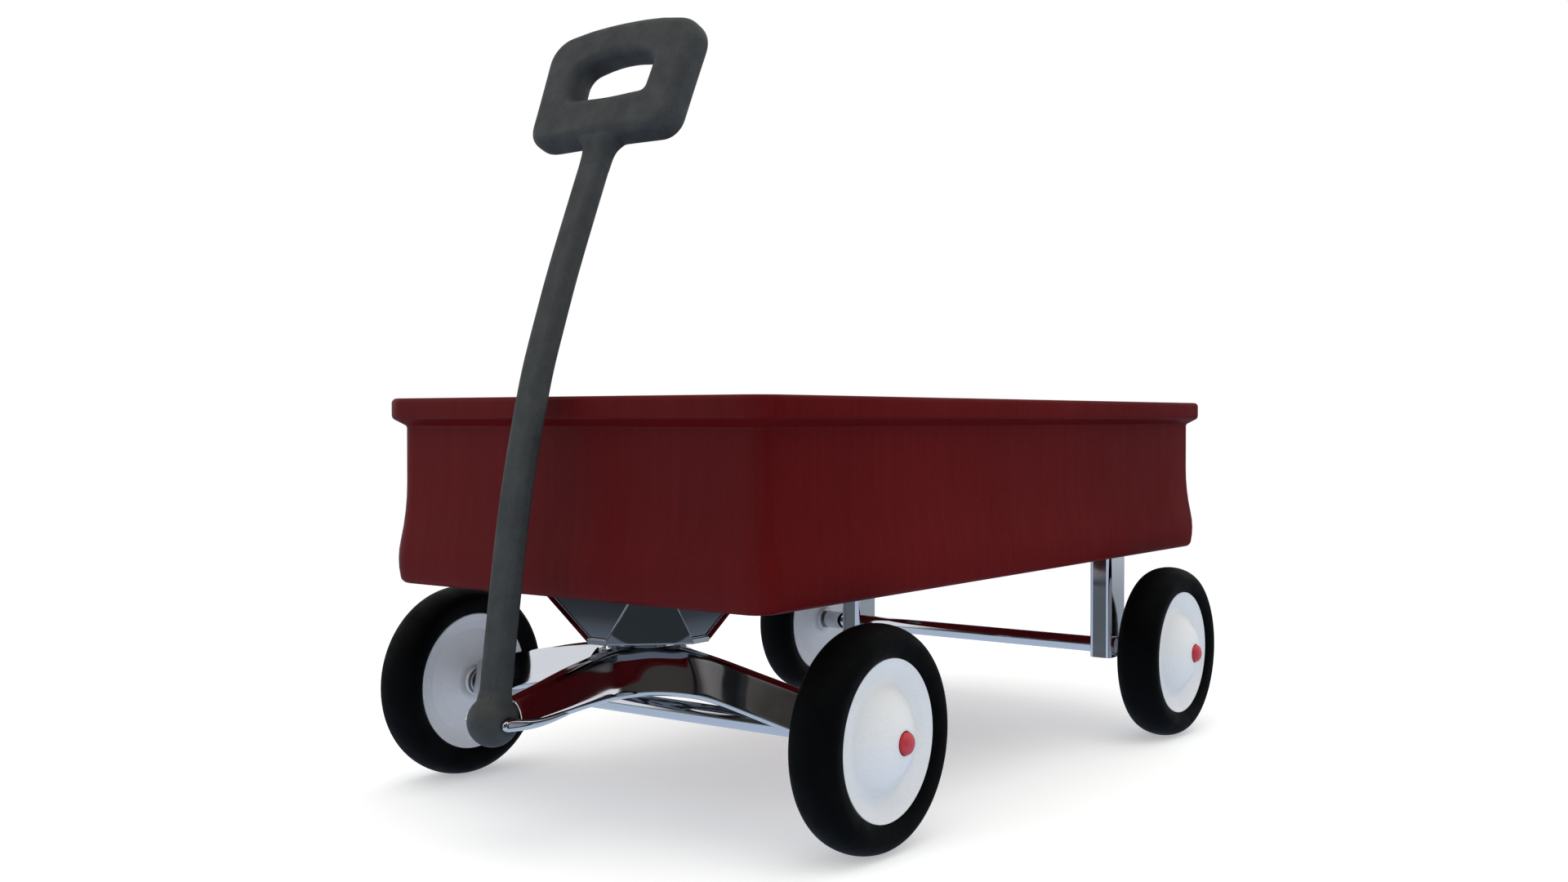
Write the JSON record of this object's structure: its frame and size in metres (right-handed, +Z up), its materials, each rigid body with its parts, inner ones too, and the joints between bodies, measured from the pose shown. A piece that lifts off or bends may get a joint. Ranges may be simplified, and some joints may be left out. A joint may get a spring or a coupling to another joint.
{
  "type": "kids pull wagon",
  "caption": "Child's pull wagon: pressed steel tub on four rubber-tyred disc wheels, with a steered front fork on a kingpin turntable and a fold-down pull handle on a ball knuckle.",
  "frame": {"origin": "centre of the footprint on the ground, bottom centre of the bounding box", "axes": "+X the pulling direction, towards the handle; +Y the wagon's left side; +Z up"},
  "size_m": [1.0068, 0.594, 0.7401],
  "materials": {
    "red_paint": "deep red satin enamel on pressed steel sheet",
    "grey_plastic": "dark grey moulded plastic, fine matte grain",
    "tyre_rubber": "smooth black moulded rubber",
    "white_enamel": "off-white enamel with a fine grain",
    "red_caps": "red domed cap, semi-gloss",
    "chrome": "bright chrome plate",
    "zinc_steel": "bright zinc-plated fasteners",
    "nylon": "natural nylon bushes"
  },
  "bodies": {
    "tub_body": {"tub": "red_paint", "turntable_bracket": "chrome", "bracket_bolts": "zinc_steel", "bracket_nuts": "zinc_steel", "kingpin": "zinc_steel", "kingpin_washer": "zinc_steel", "kingpin_nut": "zinc_steel", "rear_post_left": "chrome", "rear_post_right": "chrome", "rear_post_bolts": "zinc_steel", "rear_post_nuts": "zinc_steel", "rear_axle": "chrome", "rear_axle_spacers": "chrome", "rear_wheel_washers": "zinc_steel", "rear_axle_caps": "red_caps"},
    "fork": {"steering_fork": "chrome", "turntable_washer": "zinc_steel", "kingpin_bush": "nylon", "front_axle": "chrome", "front_axle_spacers": "chrome", "front_wheel_washers": "zinc_steel", "front_axle_caps": "red_caps", "handle_pin": "zinc_steel", "handle_pin_cap": "zinc_steel"},
    "handle": {"handle_knuckle": "grey_plastic", "handle_shaft": "grey_plastic", "handle_grip": "grey_plastic", "grip_rivets": "zinc_steel", "knuckle_rivet": "zinc_steel"},
    "wheel_fl": {"tyre_front_left": "tyre_rubber", "rim_front_left": "white_enamel", "outer_disc_front_left": "white_enamel", "inner_disc_front_left": "white_enamel", "hub_front_left": "white_enamel", "bushes_front_left": "nylon"},
    "wheel_fr": {"tyre_front_right": "tyre_rubber", "rim_front_right": "white_enamel", "outer_disc_front_right": "white_enamel", "inner_disc_front_right": "white_enamel", "hub_front_right": "white_enamel", "bushes_front_right": "nylon"},
    "wheel_rl": {"tyre_rear_left": "tyre_rubber", "rim_rear_left": "white_enamel", "outer_disc_rear_left": "white_enamel", "inner_disc_rear_left": "white_enamel", "hub_rear_left": "white_enamel", "bushes_rear_left": "nylon"},
    "wheel_rr": {"tyre_rear_right": "tyre_rubber", "rim_rear_right": "white_enamel", "outer_disc_rear_right": "white_enamel", "inner_disc_rear_right": "white_enamel", "hub_rear_right": "white_enamel", "bushes_rear_right": "nylon"}
  },
  "joints": [
    {"name": "steering", "type": "hinge", "parent": "tub_body", "child": "fork", "pos_m": [0.28658, 0, 0.16], "axis": [0, 0, 1], "range_deg": [-22, 22]},
    {"name": "handle_pivot", "type": "hinge", "parent": "fork", "child": "handle", "pos_m": [0.48128, 0, 0.1134], "axis": [0, 1, 0], "range_deg": [0, 112]},
    {"name": "wheel_fl_spin", "type": "hinge", "parent": "fork", "child": "wheel_fl", "pos_m": [0.28658, 0.256, 0.098], "axis": [0, 1, 0], "continuous": true},
    {"name": "wheel_fr_spin", "type": "hinge", "parent": "fork", "child": "wheel_fr", "pos_m": [0.28658, -0.256, 0.098], "axis": [0, 1, 0], "continuous": true},
    {"name": "wheel_rl_spin", "type": "hinge", "parent": "tub_body", "child": "wheel_rl", "pos_m": [-0.34082, 0.256, 0.098], "axis": [0, 1, 0], "continuous": true},
    {"name": "wheel_rr_spin", "type": "hinge", "parent": "tub_body", "child": "wheel_rr", "pos_m": [-0.34082, -0.256, 0.098], "axis": [0, 1, 0], "continuous": true}
  ]
}
